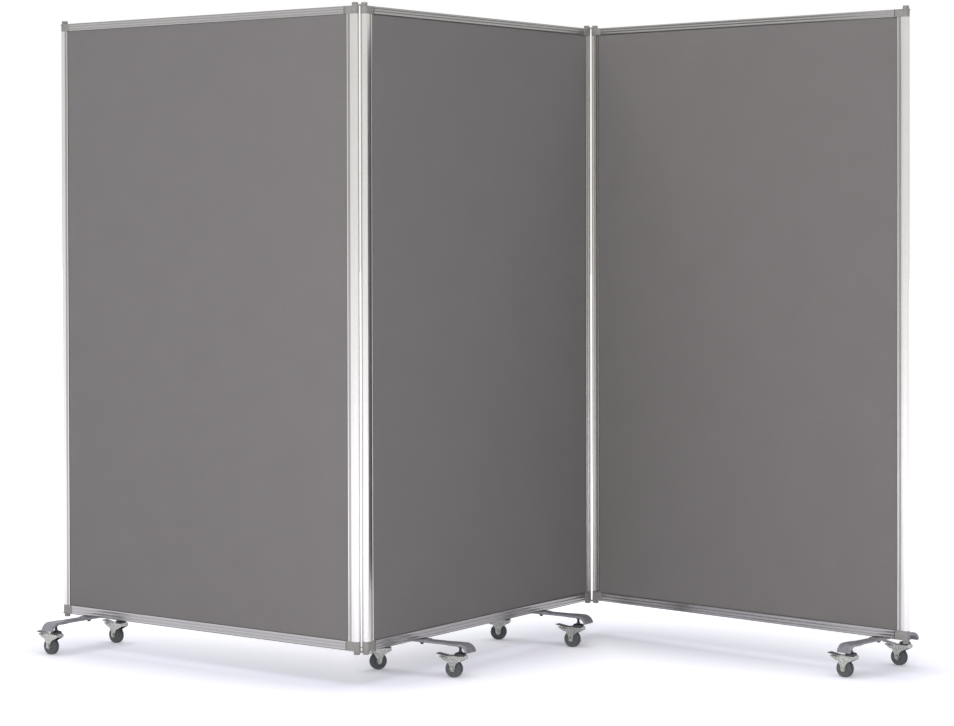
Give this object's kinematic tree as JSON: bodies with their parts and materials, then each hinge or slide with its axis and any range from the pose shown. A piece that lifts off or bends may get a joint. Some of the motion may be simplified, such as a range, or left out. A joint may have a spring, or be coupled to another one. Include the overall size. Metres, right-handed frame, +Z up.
{
  "type": "folding privacy screen",
  "caption": "Folding ward screen: felt-faced boards in aluminium frames, hinged by small link plates, on feet with braked castors.",
  "frame": {"origin": "on the floor, under the centre of the open screen's bounding box", "axes": "+Z up; +X along the middle panel from its left end to its right end, seen from the front; +Y away from the viewer"},
  "size_m": [1.3194, 2.407, 1.924],
  "materials": {
    "felt": "matte grey felt",
    "frame": "satin anodised",
    "fitting": "satin warm grey",
    "foot": "satin silver-grey",
    "fork": "bright zinc plate",
    "wheel": "matte dark grey",
    "pedal": "satin dark grey"
  },
  "bodies": {
    "middle_panel": {"middle_board": "felt", "middle_bottom_rail": "frame", "middle_top_rail": "frame", "middle_left_post": "frame", "middle_right_post": "frame", "middle_left_bottom_corner": "fitting", "middle_left_top_corner": "fitting", "middle_right_bottom_corner": "fitting", "middle_right_top_corner": "fitting", "middle_left_foot": "foot", "middle_right_foot": "foot"},
    "left_link": {"left_top_link": "fitting", "left_bottom_link": "fitting"},
    "left_panel": {"left_board": "felt", "left_bottom_rail": "frame", "left_top_rail": "frame", "left_left_post": "frame", "left_right_post": "frame", "left_left_bottom_corner": "fitting", "left_left_top_corner": "fitting", "left_right_bottom_corner": "fitting", "left_right_top_corner": "fitting", "left_foot": "foot"},
    "right_link": {"right_top_link": "fitting", "right_bottom_link": "fitting"},
    "right_panel": {"right_board": "felt", "right_bottom_rail": "frame", "right_top_rail": "frame", "right_left_post": "frame", "right_right_post": "frame", "right_left_bottom_corner": "fitting", "right_left_top_corner": "fitting", "right_right_bottom_corner": "fitting", "right_right_top_corner": "fitting", "right_foot": "foot"},
    "middle_left_front_swivel": {"middle_left_front_fork": "fork"},
    "middle_left_front_wheel": {"middle_left_front_wheel": "wheel"},
    "middle_left_front_brake": {"middle_left_front_pedal": "pedal"},
    "middle_left_rear_swivel": {"middle_left_rear_fork": "fork"},
    "middle_left_rear_wheel": {"middle_left_rear_wheel": "wheel"},
    "middle_left_rear_brake": {"middle_left_rear_pedal": "pedal"},
    "middle_right_front_swivel": {"middle_right_front_fork": "fork"},
    "middle_right_front_wheel": {"middle_right_front_wheel": "wheel"},
    "middle_right_front_brake": {"middle_right_front_pedal": "pedal"},
    "middle_right_rear_swivel": {"middle_right_rear_fork": "fork"},
    "middle_right_rear_wheel": {"middle_right_rear_wheel": "wheel"},
    "middle_right_rear_brake": {"middle_right_rear_pedal": "pedal"},
    "left_front_swivel": {"left_front_fork": "fork"},
    "left_front_wheel": {"left_front_wheel": "wheel"},
    "left_front_brake": {"left_front_pedal": "pedal"},
    "left_rear_swivel": {"left_rear_fork": "fork"},
    "left_rear_wheel": {"left_rear_wheel": "wheel"},
    "left_rear_brake": {"left_rear_pedal": "pedal"},
    "right_front_swivel": {"right_front_fork": "fork"},
    "right_front_wheel": {"right_front_wheel": "wheel"},
    "right_front_brake": {"right_front_pedal": "pedal"},
    "right_rear_swivel": {"right_rear_fork": "fork"},
    "right_rear_wheel": {"right_rear_wheel": "wheel"},
    "right_rear_brake": {"right_rear_pedal": "pedal"}
  },
  "joints": [
    {"name": "left_link_hinge", "type": "hinge", "parent": "middle_panel", "child": "left_link", "pos_m": [-0.54304, -0.00543, 0], "axis": [0, 0, 1], "range_deg": [-38, 142]},
    {"name": "left_panel_hinge", "type": "hinge", "parent": "left_link", "child": "left_panel", "pos_m": [-0.55905, 0.01506, 0], "axis": [0, 0, 1], "range_deg": [-48, 132]},
    {"name": "right_link_hinge", "type": "hinge", "parent": "middle_panel", "child": "right_link", "pos_m": [0.63496, -0.00543, 0], "axis": [0, 0, 1], "range_deg": [-32, 148]},
    {"name": "right_panel_hinge", "type": "hinge", "parent": "right_link", "child": "right_panel", "pos_m": [0.64874, -0.02748, 0], "axis": [0, 0, 1], "range_deg": [-48.8, 131.2]},
    {"name": "middle_left_front_swivel", "type": "hinge", "parent": "middle_panel", "child": "middle_left_front_swivel", "pos_m": [-0.27204, -0.14043, 0.067], "axis": [0, 0, 1], "continuous": true},
    {"name": "middle_left_front_spin", "type": "hinge", "parent": "middle_left_front_swivel", "child": "middle_left_front_wheel", "pos_m": [-0.27517, -0.12068, 0.025], "axis": [-0.9877, -0.1564, 0], "continuous": true},
    {"name": "middle_left_front_pedal", "type": "hinge", "parent": "middle_left_front_swivel", "child": "middle_left_front_brake", "pos_m": [-0.27753, -0.10578, 0.05592], "axis": [-0.9877, -0.1564, 0], "range_deg": [0, 12]},
    {"name": "middle_left_rear_swivel", "type": "hinge", "parent": "middle_panel", "child": "middle_left_rear_swivel", "pos_m": [-0.27204, 0.12957, 0.067], "axis": [0, 0, 1], "continuous": true},
    {"name": "middle_left_rear_spin", "type": "hinge", "parent": "middle_left_rear_swivel", "child": "middle_left_rear_wheel", "pos_m": [-0.28881, 0.14046, 0.025], "axis": [-0.5446, -0.8387, 0], "continuous": true},
    {"name": "middle_left_rear_pedal", "type": "hinge", "parent": "middle_left_rear_swivel", "child": "middle_left_rear_brake", "pos_m": [-0.30146, 0.14868, 0.05592], "axis": [-0.5446, -0.8387, 0], "range_deg": [0, 12]},
    {"name": "middle_right_front_swivel", "type": "hinge", "parent": "middle_panel", "child": "middle_right_front_swivel", "pos_m": [0.36396, -0.14043, 0.067], "axis": [0, 0, 1], "continuous": true},
    {"name": "middle_right_front_spin", "type": "hinge", "parent": "middle_right_front_swivel", "child": "middle_right_front_wheel", "pos_m": [0.36187, -0.12054, 0.025], "axis": [-0.9945, -0.1045, 0], "continuous": true},
    {"name": "middle_right_front_pedal", "type": "hinge", "parent": "middle_right_front_swivel", "child": "middle_right_front_brake", "pos_m": [0.36029, -0.10554, 0.05592], "axis": [-0.9945, -0.1045, 0], "range_deg": [0, 12]},
    {"name": "middle_right_rear_swivel", "type": "hinge", "parent": "middle_panel", "child": "middle_right_rear_swivel", "pos_m": [0.36396, 0.12957, 0.067], "axis": [0, 0, 1], "continuous": true},
    {"name": "middle_right_rear_spin", "type": "hinge", "parent": "middle_right_rear_swivel", "child": "middle_right_rear_wheel", "pos_m": [0.35551, 0.14769, 0.025], "axis": [-0.9063, -0.4226, 0], "continuous": true},
    {"name": "middle_right_rear_pedal", "type": "hinge", "parent": "middle_right_rear_swivel", "child": "middle_right_rear_brake", "pos_m": [0.34913, 0.16136, 0.05592], "axis": [-0.9063, -0.4226, 0], "range_deg": [0, 12]},
    {"name": "left_front_swivel", "type": "hinge", "parent": "left_panel", "child": "left_front_swivel", "pos_m": [-0.61817, 1.10484, 0.067], "axis": [0, 0, 1], "continuous": true},
    {"name": "left_front_spin", "type": "hinge", "parent": "left_front_swivel", "child": "left_front_wheel", "pos_m": [-0.61747, 1.12482, 0.025], "axis": [-0.9994, 0.0349, 0], "continuous": true},
    {"name": "left_front_pedal", "type": "hinge", "parent": "left_front_swivel", "child": "left_front_brake", "pos_m": [-0.61695, 1.1399, 0.05592], "axis": [-0.9994, 0.0349, 0], "range_deg": [0, 12]},
    {"name": "left_rear_swivel", "type": "hinge", "parent": "left_panel", "child": "left_rear_swivel", "pos_m": [-0.34883, 1.086, 0.067], "axis": [0, 0, 1], "continuous": true},
    {"name": "left_rear_spin", "type": "hinge", "parent": "left_rear_swivel", "child": "left_rear_wheel", "pos_m": [-0.34744, 1.10595, 0.025], "axis": [-0.9976, 0.0698, 0], "continuous": true},
    {"name": "left_rear_pedal", "type": "hinge", "parent": "left_rear_swivel", "child": "left_rear_brake", "pos_m": [-0.34638, 1.121, 0.05592], "axis": [-0.9976, 0.0698, 0], "range_deg": [0, 12]},
    {"name": "right_front_swivel", "type": "hinge", "parent": "right_panel", "child": "right_front_swivel", "pos_m": [0.34232, -1.07496, 0.067], "axis": [0, 0, 1], "continuous": true},
    {"name": "right_front_spin", "type": "hinge", "parent": "right_front_swivel", "child": "right_front_wheel", "pos_m": [0.34372, -1.05501, 0.025], "axis": [-0.9976, 0.0698, 0], "continuous": true},
    {"name": "right_front_pedal", "type": "hinge", "parent": "right_front_swivel", "child": "right_front_brake", "pos_m": [0.34477, -1.03997, 0.05592], "axis": [-0.9976, 0.0698, 0], "range_deg": [0, 12]},
    {"name": "right_rear_swivel", "type": "hinge", "parent": "right_panel", "child": "right_rear_swivel", "pos_m": [0.60885, -1.11813, 0.067], "axis": [0, 0, 1], "continuous": true},
    {"name": "right_rear_spin", "type": "hinge", "parent": "right_rear_swivel", "child": "right_rear_wheel", "pos_m": [0.61163, -1.09833, 0.025], "axis": [-0.9903, 0.1392, 0], "continuous": true},
    {"name": "right_rear_pedal", "type": "hinge", "parent": "right_rear_swivel", "child": "right_rear_brake", "pos_m": [0.61373, -1.08339, 0.05592], "axis": [-0.9903, 0.1392, 0], "range_deg": [0, 12]}
  ]
}
